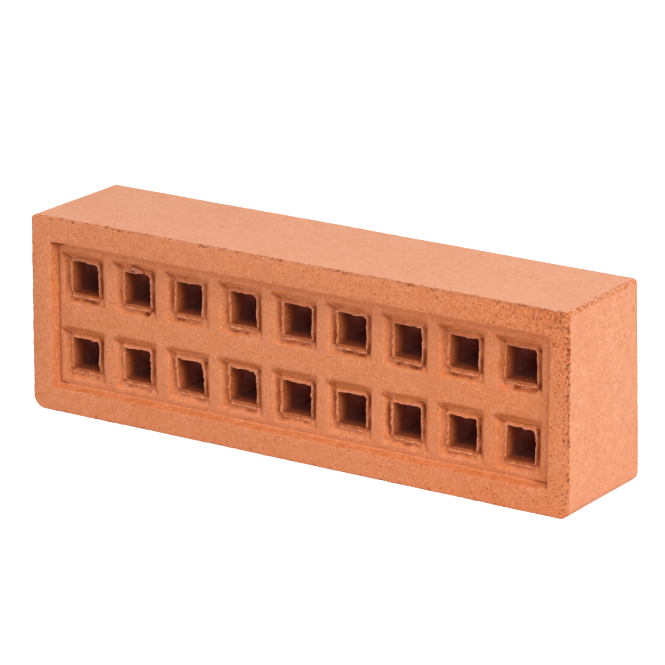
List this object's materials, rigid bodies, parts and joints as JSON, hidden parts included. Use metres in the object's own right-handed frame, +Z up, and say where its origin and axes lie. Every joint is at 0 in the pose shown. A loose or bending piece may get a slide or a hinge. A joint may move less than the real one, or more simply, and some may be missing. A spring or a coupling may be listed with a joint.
{
  "type": "air brick",
  "caption": "Terracotta air brick: one block of fired clay with a sunk face panel and a grid of dished, lipped square holes that let air through a wall.",
  "frame": {"origin": "centre of the bed, the lower face that the brick stands on", "axes": "+X along the length, +Y from the grille face to the back, +Z up from the bed to the top"},
  "size_m": [0.215, 0.048, 0.07],
  "materials": {
    "terracotta": "matt unglazed fired clay, orange red with fine pale grit and small pits"
  },
  "bodies": {
    "root": {"air_brick": "terracotta"}
  },
  "joints": []
}
